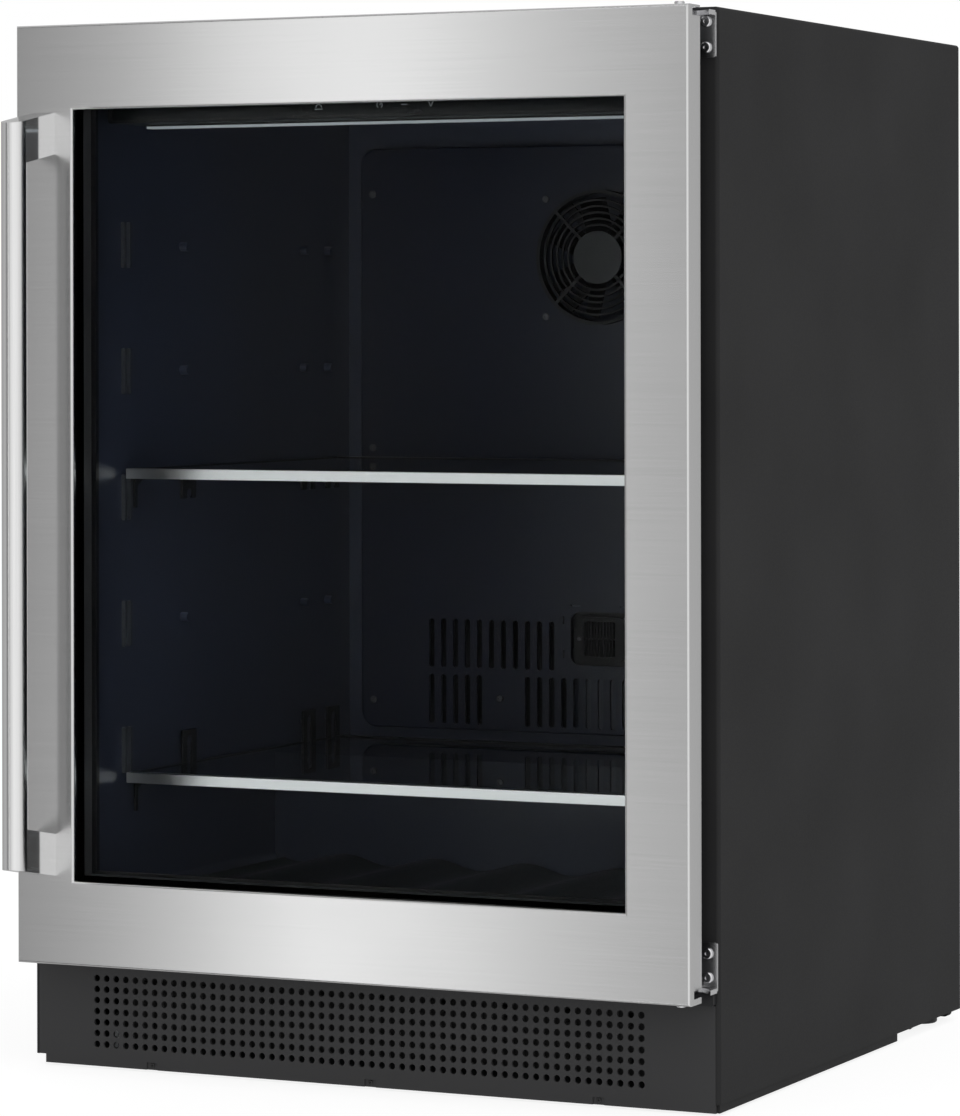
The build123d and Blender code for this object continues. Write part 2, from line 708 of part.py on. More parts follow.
def wall_ribs():
    """Paired upright ribs near the front of both cavity walls, one pair at each shelf level."""
    shapes = []
    for level in range(rib_levels):
        z = rib_first + level * rib_pitch
        for y in (-167.0, -157.5):
            rib = block((-cavity_half + 0.05, -cavity_half + 3.2), (y, y + 3.0),
                        (z - rib_height / 2, z + rib_height / 2))
            shapes += mirrored(rib)
    return shapes


def shelf_pegs():
    """Support pegs on both cavity walls."""
    shapes = []
    for level in range(rib_levels):
        z = rib_first + level * rib_pitch
        for y in peg_depths:
            shapes += mirrored(rod((-cavity_half + 0.05, y, z), (1, 0, 0), peg_radius, peg_length, 0.8))
    return shapes


def shelf_glass(top):
    """Glass of one shelf."""
    return block((-shelf_glass_half, shelf_glass_half),
                 (shelf_front + 3.2, shelf_back - 3.2), (top - 5.0, top))


def shelf_trim(top):
    """Bright trim along the front edge of one shelf, grooved for the glass."""
    bar = block((-shelf_half, shelf_half), (shelf_front, shelf_front + trim_depth), (top - 7.5, top + 0.8))
    return bar - shelf_glass(top)


def shelf_frame(top, level):
    """Rear rail and hooked side plates of one shelf, with a gusset under each front corner."""
    peg_z = rib_first + level * rib_pitch
    side_x = (-shelf_half, -shelf_half + 2.0)
    side_front = shelf_front + trim_depth
    rear = block((-shelf_half, shelf_half), (shelf_back - trim_depth, shelf_back), (top - 7.5, top + 0.8))
    side = block(side_x, (side_front, shelf_back - 2), (top - 6.0, top + 0.8))
    low, high = (top - 6.0, peg_z + 9) if peg_z > top else (peg_z - 4.0, top + 0.8)
    for y in peg_depths:
        hook = block(side_x, (y - 12, y + 12), (low, high))
        slot = block((-255, -249), (y - peg_radius - 0.4, y + peg_radius + 0.4), (low - 10, peg_z))
        slot += rod((-255, y, peg_z), (1, 0, 0), peg_radius + 0.2, 6.0)
        side = side + hook - slot
    gusset = Plane((side_x[0], 0, 0), x_dir=(0, 1, 0), z_dir=(1, 0, 0)) * make_face(
        Polyline((side_front, top - 6.0), (side_front + 18, top - 6.0), (side_front + 4, top - 14),
                 (side_front + 4, top - 32), (side_front, top - 32), close=True))
    side += extrude(gusset, 2.0)
    return rear + side + mirror(side, Plane.YZ) - shelf_glass(top)


def bottle_cradle():
    """Loose corrugated tray that keeps bottles from rolling."""
    period, wave, thickness = 87.5, 4.5, 3.0
    first, last = -247.0, 247.0
    base_z = cavity_floor + 0.2
    middle = base_z + thickness + wave
    steps = 44
    upper = []
    for index in range(steps + 1):
        x = first + (last - first) * index / steps
        upper.append((x, middle + wave * math.cos(2 * math.pi * (x + 10) / period)))
    face = make_face([Spline(*upper), Line(upper[-1], (last, base_z)),
                      Line((last, base_z), (first, base_z)), Line((first, base_z), upper[0])])
    plane = Plane((0, -200, 0), x_dir=(1, 0, 0), z_dir=(0, -1, 0))
    return extrude(plane * face, -(hump_front - 4 + 200))


def control_housing():
    """Box under the cavity ceiling that holds the touch controls, with the rail of the lamp strip."""
    housing = panel((-244, 244), (-212, -150), (775.5, cavity_ceiling - 0.1), 3)
    rail = block((-lamp_half, lamp_half), (-179, -171), (lamp_top, 775.6))
    return housing + rail - block((-240, 240), (-213, -210), (778, 806))


def touch_panel():
    """Black glass face of the touch controls."""
    return block((-239.8, 239.8), (-211.8, -210.1), (778.2, 805.8))


def light_bar():
    """Thin lamp strip under the control housing."""
    return block((-lamp_half, lamp_half), (-180, -170), (lamp_top - lamp_thickness, lamp_top))


# ---- machine compartment ----

def compressor():
    """Hermetic compressor: domed shell, seam and three tube stubs."""
    x, y, z = 110.0, 230.0, 30.0
    shell = Pos(x, y, z + 62) * Box(196, 138, 124)
    shell = fillet(shell.edges().filter_by(Axis.Z), 60)
    shell = fillet(shell.faces().sort_by(Axis.Z)[-1].edges(), 38)
    shell = fillet(shell.faces().sort_by(Axis.Z)[0].edges(), 20)
    seam = Pos(x, y, z + 70) * Box(204, 146, 5)
    shell += fillet(seam.edges().filter_by(Axis.Z), 64)
    for offset in (-20, 5, 30):
        shell += rod((x - 90, y + offset, z + 50), (-1, 0, 0), 4.0, 40)
    shell += block((x - 95, x + 95), (y - 40, y - 10), (z - 4, z + 6))
    shell += block((x - 95, x + 95), (y + 10, y + 40), (z - 4, z + 6))
    return shell


def compressor_mounts():
    """Rubber grommets between the compressor and the base pan."""
    shapes = []
    for x in (110 - 80, 110 + 80):
        for y in (205, 255):
            shapes.append(rod((x, y, 12.5), (0, 0, 1), 10.0, 13.5))
    return shapes


def condenser_fins():
    """Fin pack of the condenser behind the grille."""
    shapes = []
    for index in range(24):
        y = -196 + index * 9.0
        shapes.append(block((-240, 240), (y, y + 0.8), (20, 80)) - condenser_runs(5.2))
    return shapes


def condenser_runs(radius):
    """Straight condenser tube runs, front to back."""
    runs = Part()
    for index in range(9):
        for z in (35, 65):
            runs += rod((-216 + index * 54.0, -204, z), (0, 1, 0), radius, 228)
    return runs


def condenser_tubes():
    """Condenser tubes through the fin pack."""
    return list(condenser_runs(5.0).solids())


def fan_shroud():
    """Sheet shroud that holds the condenser fan."""
    plate = block((-200, -20), (150, 153), (12.6, 190))
    return plate - rod((-110, 149, 101), (0, 1, 0), 72.0, 8)


def condenser_fan():
    """Condenser fan rotor."""
    return fan_rotor((-110, 101), 154.0, 69.0, 24.0, 24.0, 3.0 + running_gap)


def condenser_fan_motor():
    """Condenser fan motor with its shaft and three arms to the shroud."""
    y0 = 181.0
    motor = rod((-110, y0, 101), (0, 1, 0), 26.0, 34.0)
    motor += rod((-110, y0, 101), (0, -1, 0), 3.0, 18.0)
    for angle in (0, 180):
        arm = block((24, 84), (y0 + 8, y0 + 12), (-6, 6))
        arm += block((80, 84), (153.1, y0 + 12), (-6, 6))
        motor += Pos(-110, 0, 101) * Rot(0, angle, 0) * arm
    return motor


def drip_tray():
    """Tray over the compressor compartment floor that evaporates melt water."""
    tray = block((-250, -60), (235, 300), (14, 34))
    return tray - block((-247.5, -62.5), (237.5, 297.5), (16.5, 40))


def power_inlet():
    """Appliance inlet in the rear cover, with three blades."""
    body = block((224.3, 255.7), (rear_plane - 22, rear_plane + 2.5), (44.3, 67.7))
    body -= block((228, 252), (rear_plane - 14, rear_plane + 5), (47.5, 64.5))
    for x, z in ((232.5, 53.5), (247.5, 53.5), (240, 59.5)):
        body += block((x - 1, x + 1), (rear_plane - 15, rear_plane - 1), (z - 2.5, z + 2.5))
    return body


# ---- feet ----

def levelling_foot(x, y):
    """Foot pad with its threaded stem."""
    pad = rod((x, y, 6.0), (0, 0, -1), 16.0, 6.0, 2.0)
    return pad + rod((x, y, 6.0), (0, 0, 1), 4.0 - running_gap, 34.0)


def foot_places():
    """Centres of the four feet."""
    return {"front_left": (-255.0, -180.0), "front_right": (255.0, -180.0),
            "rear_left": (-278.0, 293.0), "rear_right": (278.0, 293.0)}


def roller_places():
    """Middles of the two rear rollers."""
    return (-278.0, 278.0)


def roller_bracket(x):
    """Channel that carries one rear roller."""
    bracket = Part()
    for side in (-12.5, 11.0):
        bracket += block((x + side, x + side + 1.5), (236, 262), (6, 30))
    bracket += block((x - 12.5, x + 12.5), (236, 262), (30, 31.5))
    for side in (-22.0, 12.5):
        bracket += block((x + side, x + side + 9.5), (236, 262), (12.6, 14.0))
    return bracket - rod((x - 20, 249, 14.0), (1, 0, 0), 3.0, 40)


def roller_mount(x):
    """Bracket and axle of one rear roller."""
    return [roller_bracket(x), rod((x - 12.9, 249, 14.0), (1, 0, 0), 3.0, 25.8)]


def roller(x):
    """Rear roller."""
    wheel = rod((x - 10, 249, 14.0), (1, 0, 0), 14.0, 20.0)
    wheel = chamfer(wheel.edges().filter_by(GeomType.CIRCLE), 1.5)
    return wheel - rod((x - 11, 249, 14.0), (1, 0, 0), 3.0 + running_gap, 22.0)


def build():
    """Every sub-part by its node name."""
    parts = {
        "outer_wrapper": outer_wrapper(),
        "rear_panel": rear_panel(),
        "rear_cover": rear_cover(),
        "cavity_liner": liner(),
        "foam_insulation": foam(),
        "front_rail": front_rail(),
        "machine_ceiling": machine_ceiling(),
        "base_pan": base_pan(),
        "plinth_rails": plinth_rails() + [rear_skid()],
        "kick_grille": kick_grille(),
        "panel_screws": rear_screws() + grille_screws(),
        "hinge_brackets": [hinge_bracket("top"), hinge_bracket("bottom")],
        "hinge_pins": hinge_pins(),
        "hinge_screws": hinge_screws(),
        "hinge_pad": hinge_pad(),
        "door_skin": door_skin(),
        "door_inner_frame": inner_frame(),
        "outer_glass": glass_pane(door_front + window_return + 0.2, 4.0),
        "glass_spacer": glass_spacer(door_front + window_return + 4.2, 12.0),
        "inner_glass": glass_pane(door_front + window_return + 16.2, 4.0),
        "door_gasket": door_gasket(),
        "hinge_blocks": hinge_blocks(),
        "hinge_bushings": hinge_bushings(),
        "handle_tube": handle_tube(),
        "handle_posts": handle_posts(),
        "handle_screws": handle_screws(),
        "evaporator_cover": evaporator_cover(),
        "cavity_screws": cover_screws() + fan_screws() + [sensor_screw()],
        "fan_guard": fan_guard(),
        "evaporator_fan": evaporator_fan(),
        "evaporator_fan_motor": evaporator_fan_motor(),
        "evaporator_coil": evaporator_fins() + evaporator_tubes(),
        "sensor_box": sensor_box(),
        "wall_ribs": wall_ribs(),
        "shelf_pegs": shelf_pegs(),
        "bottle_cradle": bottle_cradle(),
        "control_housing": control_housing(),
        "touch_panel": touch_panel(),
        "light_bar": light_bar(),
        "compressor": compressor(),
        "compressor_mounts": compressor_mounts(),
        "condenser_coil": condenser_fins() + condenser_tubes(),
        "fan_shroud": fan_shroud(),
        "condenser_fan": condenser_fan(),
        "condenser_fan_motor": condenser_fan_motor(),
        "drip_tray": drip_tray(),
        "power_inlet": power_inlet(),
        "roller_brackets": [piece for x in roller_places() for piece in roller_mount(x)],
    }
    for name, (x, y) in foot_places().items():
        parts[f"{name}_foot"] = levelling_foot(x, y)
    for name, x in zip(("left", "right"), roller_places()):
        parts[f"{name}_roller"] = roller(x)
    for name, top, level in zip(("upper", "lower"), shelf_tops, shelf_levels):
        parts[f"{name}_shelf_glass"] = shelf_glass(top)
        parts[f"{name}_shelf_trim"] = shelf_trim(top)
        parts[f"{name}_shelf_frame"] = shelf_frame(top, level)
    return parts


def write(parts):
    """One STEP file for each node."""
    os.makedirs("parts", exist_ok=True)
    for name, shape in parts.items():
        if isinstance(shape, list):
            shape = Compound(children=[solid for piece in shape for solid in piece.solids()])
        elif len(shape.solids()) == 1:
            shape = shape.solids()[0]
        export_step(shape, f"parts/{name}.step")


write(build())
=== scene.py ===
import json
import math

import bmesh
import bpy
from mathutils import Matrix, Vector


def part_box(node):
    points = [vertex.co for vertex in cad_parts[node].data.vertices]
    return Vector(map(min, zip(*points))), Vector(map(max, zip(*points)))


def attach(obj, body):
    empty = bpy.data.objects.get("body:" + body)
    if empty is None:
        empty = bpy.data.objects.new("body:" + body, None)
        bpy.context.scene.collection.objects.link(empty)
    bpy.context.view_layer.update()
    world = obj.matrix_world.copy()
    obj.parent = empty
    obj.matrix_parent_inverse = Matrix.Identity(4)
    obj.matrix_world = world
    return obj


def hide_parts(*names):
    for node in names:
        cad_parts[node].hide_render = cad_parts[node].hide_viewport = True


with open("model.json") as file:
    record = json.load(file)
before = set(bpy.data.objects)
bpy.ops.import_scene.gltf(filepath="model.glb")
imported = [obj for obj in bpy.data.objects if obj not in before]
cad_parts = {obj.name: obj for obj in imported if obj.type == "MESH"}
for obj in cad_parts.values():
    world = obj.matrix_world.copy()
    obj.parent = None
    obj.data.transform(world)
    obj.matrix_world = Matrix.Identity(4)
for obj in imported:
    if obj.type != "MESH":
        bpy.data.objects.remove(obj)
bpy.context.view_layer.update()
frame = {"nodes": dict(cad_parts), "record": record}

# Looks of the undercounter refrigerator. Metres, in the frame of the CAD model.
nodes = frame["nodes"]
MM = 0.001


# ---- camera, floor and light ----

CAMERA_PLACE = (1.6505, -3.492, 0.6085)
CAMERA_YAW = 25.38  # degrees
CAMERA_ROLL = 0.10  # degrees
LENS = 147.97
SENSOR = 36.0
HORIZON_SHIFT = -0.2079


def make_camera():
    """Long lens that looks level at the door from its hinge side, shifted down in the picture plane."""
    data = bpy.data.cameras.new("camera")
    data.sensor_fit = "VERTICAL"
    data.sensor_height = SENSOR
    data.lens = LENS
    data.shift_y = HORIZON_SHIFT
    data.clip_start = 0.05
    data.clip_end = 60.0
    camera = bpy.data.objects.new("camera", data)
    camera.location = CAMERA_PLACE
    camera.rotation_euler = (math.radians(90), math.radians(CAMERA_ROLL), math.radians(CAMERA_YAW))
    bpy.context.scene.collection.objects.link(camera)
    bpy.context.scene.camera = camera


# Brightness of the studio around the object at the horizon. The angle is in degrees from the direction that
# the door faces, and grows towards the hinge side. The peak on the handle side is a tall soft strip.
STUDIO = ((-180, 0.55), (-110, 0.45), (-60, 0.60), (-44, 0.34), (-33, 0.18), (-29.5, 0.62), (-27.3, 2.20),
          (-25.2, 0.80), (-22.5, 0.47), (-8, 0.92), (20, 1.15), (60, 1.05), (95, 0.70), (125, 0.60),
          (180, 0.55))
ZENITH_GAIN = 1.5
WHITE = (1.0, 1.0, 1.0, 1.0)
FLOOR_REACH = 14.0
FLOOR_GLOW = 0.42
FLOOR_WHITE_SHARE = 0.75  # of the floor's tone, as the camera sees it


def make_studio():
    """Soft dome of light; the camera itself sees the backdrop as plain white."""
    bpy.context.scene.view_settings.view_transform = "Standard"
    world = bpy.data.worlds.new("studio")
    bpy.context.scene.world = world
    world.use_nodes = True
    tree = world.node_tree
    dome = tree.nodes["Background"]
    direction = tree.nodes.new("ShaderNodeTexCoord")
    split = tree.nodes.new("ShaderNodeSeparateXYZ")
    tree.links.new(direction.outputs["Generated"], split.inputs["Vector"])
    backwards = math_node(tree, "MULTIPLY", split.outputs["Y"], -1.0)
    angle = math_node(tree, "ARCTAN2", split.outputs["X"], backwards)
    turn = ramp(tree, angle, -math.pi, math.pi, 0.0, 1.0)
    steps = tree.nodes.new("ShaderNodeValToRGB")
    tree.links.new(turn, steps.inputs["Fac"])
    stops = steps.color_ramp.elements
    while len(stops) < len(STUDIO):
        stops.new(1.0)
    for stop, (degrees, level) in zip(stops, STUDIO):
        stop.position = (degrees + 180) / 360
        stop.color = (level, level, level, 1.0)
    height = ramp(tree, split.outputs["Z"], 0.25, 0.9, 1.0, ZENITH_GAIN)
    tree.links.new(steps.outputs["Color"], dome.inputs["Color"])
    tree.links.new(height, dome.inputs["Strength"])

    backdrop = tree.nodes.new("ShaderNodeBackground")
    backdrop.inputs["Color"].default_value = WHITE
    path = tree.nodes.new("ShaderNodeLightPath")
    choice = tree.nodes.new("ShaderNodeMixShader")
    tree.links.new(path.outputs["Is Camera Ray"], choice.inputs["Fac"])
    tree.links.new(dome.outputs["Background"], choice.inputs[1])
    tree.links.new(backdrop.outputs["Background"], choice.inputs[2])
    tree.links.new(choice.outputs["Shader"], tree.nodes["World Output"].inputs["Surface"])


def make_floor():
    """Wide pale sheet that the object stands on, left out of reflections."""
    mesh = bpy.data.meshes.new("floor")
    corners = [(x * FLOOR_REACH, y * FLOOR_REACH, 0) for x, y in ((-1, -1), (1, -1), (1, 1), (-1, 1))]
    mesh.from_pydata(corners, [], [(0, 1, 2, 3)])
    floor = bpy.data.objects.new("floor", mesh)
    bpy.context.scene.collection.objects.link(floor)
    floor.data.materials.append(floor_material())
    floor.visible_glossy = False


def new_material(name):
    """Empty material with its output and a Principled shader."""
    material = bpy.data.materials.new(name)
    material.use_nodes = True
    tree = material.node_tree
    tree.nodes.clear()
    shader = tree.nodes.new("ShaderNodeBsdfPrincipled")
    output = tree.nodes.new("ShaderNodeOutputMaterial")
    tree.links.new(shader.outputs["BSDF"], output.inputs["Surface"])
    return material, tree, shader


def noise(tree, scale, detail=3.0, stretch=(1.0, 1.0, 1.0), roughness=0.5):
    """Noise over the object's own coordinates, stretched along an axis."""
    place = tree.nodes.new("ShaderNodeTexCoord")
    mapping = tree.nodes.new("ShaderNodeMapping")
    mapping.inputs["Scale"].default_value = stretch
    texture = tree.nodes.new("ShaderNodeTexNoise")
    texture.inputs["Scale"].default_value = scale
    texture.inputs["Detail"].default_value = detail
    texture.inputs["Roughness"].default_value = roughness
    tree.links.new(place.outputs["Object"], mapping.inputs["Vector"])
    tree.links.new(mapping.outputs["Vector"], texture.inputs["Vector"])
    return texture.outputs["Fac"]


def math_node(tree, operation, value, other):
    """Result of one operation on a value and a number or another value."""
    node = tree.nodes.new("ShaderNodeMath")
    node.operation = operation
    tree.links.new(value, node.inputs[0])
    if isinstance(other, (int, float)):
        node.inputs[1].default_value = other
    else:
        tree.links.new(other, node.inputs[1])
    return node.outputs["Value"]


def ramp(tree, value, low, high, tone_low, tone_high):
    """Maps a value between two limits to two tones."""
    node = tree.nodes.new("ShaderNodeMapRange")
    node.inputs["From Min"].default_value = low
    node.inputs["From Max"].default_value = high
    node.inputs["To Min"].default_value = tone_low
    node.inputs["To Max"].default_value = tone_high
    tree.links.new(value, node.inputs["Value"])
    return node.outputs["Result"]


def tint(tree, value, dark, light):
    """Colour between two colours by a 0 to 1 value."""
    node = tree.nodes.new("ShaderNodeMix")
    node.data_type = "RGBA"
    node.inputs["A"].default_value = (*dark, 1.0)
    node.inputs["B"].default_value = (*light, 1.0)
    tree.links.new(value, node.inputs["Factor"])
    return node.outputs["Result"]


def bump(tree, shader, value, strength, distance):
    """Surface relief from a value."""
    node = tree.nodes.new("ShaderNodeBump")
    node.inputs["Strength"].default_value = strength
    node.inputs["Distance"].default_value = distance
    tree.links.new(value, node.inputs["Height"])
    tree.links.new(node.outputs["Normal"], shader.inputs["Normal"])


def edge_wear(tree):
    """Brighter along convex edges, from the mesh's pointiness."""
    geometry = tree.nodes.new("ShaderNodeNewGeometry")
    return ramp(tree, geometry.outputs["Pointiness"], 0.50, 0.56, 0.0, 1.0)


def floor_material():
    """Pale paper that glows a little, mixed with plain white where the camera looks at it."""
    material, tree, shader = new_material("floor_paper")
    shade = ramp(tree, noise(tree, 3.0), 0.3, 0.7, 0.0, 1.0)
    tree.links.new(tint(tree, shade, (0.84, 0.84, 0.84), (0.86, 0.86, 0.86)), shader.inputs["Base Color"])
    shader.inputs["Roughness"].default_value = 0.9
    shader.inputs["Specular IOR Level"].default_value = 0.1
    shader.inputs["Emission Color"].default_value = WHITE
    shader.inputs["Emission Strength"].default_value = FLOOR_GLOW
    paper_white = tree.nodes.new("ShaderNodeEmission")
    paper_white.inputs["Color"].default_value = WHITE
    path = tree.nodes.new("ShaderNodeLightPath")
    share = math_node(tree, "MULTIPLY", path.outputs["Is Camera Ray"], FLOOR_WHITE_SHARE)
    blend = tree.nodes.new("ShaderNodeMixShader")
    tree.links.new(share, blend.inputs["Fac"])
    tree.links.new(shader.outputs["BSDF"], blend.inputs[1])
    tree.links.new(paper_white.outputs["Emission"], blend.inputs[2])
    tree.links.new(blend.outputs["Shader"], tree.nodes["Material Output"].inputs["Surface"])
    return material


def brushed_steel(name, tone, roughness, grain, aniso=0.7, rotation=0.25, relief=0.012):
    """Brushed metal: fine streaks along the grain, a stretched highlight and faint clouding."""
    material, tree, shader = new_material(name)
    streaks = noise(tree, 1.0, 4.0, grain, 0.65)
    clouds = noise(tree, 5.0, 2.0)
    light = tuple(min(1.0, c * 1.02) for c in tone)
    dark = tuple(c * 0.975 for c in tone)
    shade = ramp(tree, streaks, 0.32, 0.68, 0.0, 1.0)
    tree.links.new(tint(tree, shade, dark, light), shader.inputs["Base Color"])
    blend = tree.nodes.new("ShaderNodeMath")
    blend.operation = "MULTIPLY_ADD"
    blend.inputs[1].default_value = 0.35
    tree.links.new(streaks, blend.inputs[0])
    tree.links.new(clouds, blend.inputs[2])
    rough = ramp(tree, blend.outputs[0], 0.4, 1.0, roughness - 0.02, roughness + 0.025)
    tree.links.new(rough, shader.inputs["Roughness"])
    shader.inputs["Metallic"].default_value = 1.0
    shader.inputs["Anisotropic"].default_value = aniso
    shader.inputs["Anisotropic Rotation"].default_value = rotation
    bump(tree, shader, streaks, relief, 0.0003)
    return material


def coated(name, tone, roughness, scale=900.0, relief=0.12, spread=0.12, specular=0.5, wear=0.0):
    """Paint or moulded plastic: fine texture, faint clouding and, with wear, paler edges."""
    material, tree, shader = new_material(name)
    clouds = noise(tree, 7.0, 3.0)
    grain = noise(tree, scale, 2.0)
    shade = ramp(tree, clouds, 0.3, 0.7, 0.0, 1.0)
    dark = tuple(c * (1 - spread) for c in tone)
    light = tuple(min(1.0, c * (1 + spread)) for c in tone)
    colour = tint(tree, shade, dark, light)
    if wear:
        worn = tree.nodes.new("ShaderNodeMix")
        worn.data_type = "RGBA"
        worn.inputs["B"].default_value = (*[min(1.0, c + wear) for c in tone], 1.0)
        tree.links.new(edge_wear(tree), worn.inputs["Factor"])
        tree.links.new(colour, worn.inputs["A"])
        colour = worn.outputs["Result"]
    tree.links.new(colour, shader.inputs["Base Color"])
    rough = ramp(tree, grain, 0.3, 0.7, roughness - 0.05, roughness + 0.05)
    tree.links.new(rough, shader.inputs["Roughness"])
    shader.inputs["Specular IOR Level"].default_value = specular
    bump(tree, shader, grain, relief, 0.0002)
    return material


def clear_glass(name, tone, ior, specular=0.5, roughness=0.0):
    """Glass: tinted transmission with faint smears in its roughness."""
    material, tree, shader = new_material(name)
    smears = noise(tree, 6.0, 2.0, (1.0, 1.0, 2.0))
    shade = ramp(tree, smears, 0.3, 0.7, 0.0, 1.0)
    dark = tuple(c * 0.985 for c in tone)
    tree.links.new(tint(tree, shade, dark, tone), shader.inputs["Base Color"])
    rough = ramp(tree, smears, 0.35, 0.75, roughness, roughness + 0.012)
    tree.links.new(rough, shader.inputs["Roughness"])
    shader.inputs["Transmission Weight"].default_value = 1.0
    shader.inputs["IOR"].default_value = ior
    shader.inputs["Specular IOR Level"].default_value = specular
    return material


def lamp_material():
    """Frosted strip of the cavity lamp, unlit."""
    material, tree, shader = new_material("lamp")
    shade = ramp(tree, noise(tree, 60.0), 0.3, 0.7, 0.0, 1.0)
    tree.links.new(tint(tree, shade, (0.42, 0.44, 0.47), (0.46, 0.48, 0.51)), shader.inputs["Base Color"])
    shader.inputs["Roughness"].default_value = 0.4
    shader.inputs["Emission Color"].default_value = (0.85, 0.93, 1.0, 1.0)
    shader.inputs["Emission Strength"].default_value = 0.12
    return material


MOULDED_SCALE = 1200.0
MOULDED_RELIEF = 0.06


def even(grain):
    """Grain of metal without a direction."""
    return (grain, grain, grain)


def make_materials():
    """One material for each slot of the record."""
    along_x = (6.0, 900.0, 900.0)
    along_z = (900.0, 900.0, 6.0)
    moulded = {"scale": MOULDED_SCALE, "relief": MOULDED_RELIEF}
    return {
        "cabinet_paint": coated("cabinet_paint", (0.0205, 0.0205, 0.0210), 0.60, specular=0.07),
        "stainless": brushed_steel("stainless", (0.61, 0.61, 0.61), 0.19, along_x, 0.93),
        "polished_steel": brushed_steel("polished_steel", (0.70, 0.70, 0.70), 0.17, along_z, 0.0),
        "zinc_steel": brushed_steel("zinc_steel", (0.62, 0.62, 0.63), 0.24, even(60.0), 0.0),
        "galvanised": brushed_steel("galvanised", (0.42, 0.43, 0.44), 0.42, even(25.0), 0.0),
        "liner_plastic": coated("liner_plastic", (0.0305, 0.0375, 0.0640), 0.32, specular=0.6, **moulded),
        "black_plastic": coated("black_plastic", (0.008, 0.008, 0.009), 0.42, specular=0.3),
        "grille_plastic": coated("grille_plastic", (0.024, 0.024, 0.025), 0.50, specular=0.12, wear=0.012),
        "foam_core": coated("foam_core", (0.75, 0.66, 0.40), 0.85, 300.0, 0.5),
        "door_glass": clear_glass("door_glass", (0.95, 0.965, 0.965), 1.05, 0.2),
        "shelf_glass": clear_glass("shelf_glass", (0.90, 0.95, 0.94), 1.45),
        "touch_glass": coated("touch_glass", (0.005, 0.006, 0.007), 0.16, 200.0, 0.0, specular=0.2),
        "lamp": lamp_material(),
        "seal_rubber": coated("seal_rubber", (0.008, 0.008, 0.008), 0.62, 500.0, 0.2, specular=0.3),
        "aluminium_trim": brushed_steel("aluminium_trim", (0.72, 0.72, 0.72), 0.30, along_x, 0.4),
        "fin_aluminium": brushed_steel("fin_aluminium", (0.70, 0.71, 0.72), 0.35, even(40.0), 0.0),
        "compressor_paint": coated("compressor_paint", (0.008, 0.008, 0.008), 0.35, 60.0, 0.05,
                                   specular=0.3),
    }


def mirror_steel():
    """Polished steel that is nearly a mirror."""
    material = brushed_steel("mirror_steel", (0.80, 0.80, 0.80), 0.07, even(400.0), 0.0, relief=0.0)
    material.node_tree.nodes["Principled BSDF"].inputs["Metallic"].default_value = 0.9
    return material


def special_materials():
    """Finishes of single nodes that differ from the rest of their slot; the evaporator cover and the wall
    ribs are darker and lighter copies of the liner plastic, painted shade and painted highlight.
    """
    moulded = {"scale": MOULDED_SCALE, "relief": MOULDED_RELIEF}
    return {
        "handle_posts": mirror_steel(),
        "glass_spacer": coated("spacer_grey", (0.030, 0.031, 0.033), 0.45),
        # Darker copy of the liner plastic: painted shade for the back wall, which gets less light than the
        # side walls.
        "evaporator_cover": coated("cover_plastic_painted_shade", (0.0040, 0.0075, 0.0230), 0.34, specular=0.4, **moulded),
        "panel_screws": coated("black_screw", (0.010, 0.010, 0.010), 0.35, specular=0.4),
        "cavity_screws": brushed_steel("dark_screw", (0.12, 0.12, 0.125), 0.3, even(60.0), 0.0),
        # Lighter than the liner plastic: painted highlight standing in for the light catching the ribs'
        # edges.
        "wall_ribs": coated("rib_plastic_painted_highlight", (0.045, 0.050, 0.060), 0.30, **moulded),
        "bottle_cradle": coated("cradle_plastic", (0.006, 0.007, 0.008), 0.30, specular=0.4, **moulded),
    }


def paint_nodes(materials, special):
    """Gives every CAD node the material of its slot, or its own."""
    for row in frame["record"]["subparts"]:
        node = nodes[row["node"]]
        node.data.materials.clear()
        node.data.materials.append(special.get(row["node"], materials[row["material_slot"]]))


# ---- pieces made here ----

def add_piece(name, mesh, body, material, replaces=()):
    """Object of one mesh that rides on a body."""
    piece = bpy.data.objects.new(name, mesh)
    bpy.context.scene.collection.objects.link(piece)
    mesh.materials.append(material)
    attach(piece, body)
    if replaces:
        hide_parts(*replaces)
    return piece


def finished_mesh(name, sheet):
    """Mesh made from a bmesh, with its faces turned outwards."""
    bmesh.ops.recalc_face_normals(sheet, faces=sheet.faces)
    mesh = bpy.data.meshes.new(name)
    sheet.to_mesh(mesh)
    sheet.free()
    return mesh


def ribbon(sheet, points, width, y, thickness):
    """Adds a flat raised line through points of the XZ plane to a bmesh, in millimetres."""
    for (x0, z0), (x1, z1) in zip(points, points[1:]):
        length = math.hypot(x1 - x0, z1 - z0)
        side_x, side_z = -(z1 - z0) / length * width / 2, (x1 - x0) / length * width / 2
        corners = [(x0 + side_x, z0 + side_z), (x0 - side_x, z0 - side_z),
                   (x1 - side_x, z1 - side_z), (x1 + side_x, z1 + side_z)]
        front = [sheet.verts.new((x * MM, (y - thickness) * MM, z * MM)) for x, z in corners]
        back = [sheet.verts.new((x * MM, y * MM, z * MM)) for x, z in corners]
        sheet.faces.new(front)
        sheet.faces.new(back[::-1])
        for k in range(len(corners)):
            following = (k + 1) % len(corners)
            sheet.faces.new((front[k], back[k], back[following], front[following]))


def arc_points(x, z, radius, first, last, steps=12):
    """Points along an arc in the XZ plane; angles in degrees from +X."""
    turn = [math.radians(first + (last - first) * k / steps) for k in range(steps + 1)]
    return [(x + radius * math.cos(t), z + radius * math.sin(t)) for t in turn]


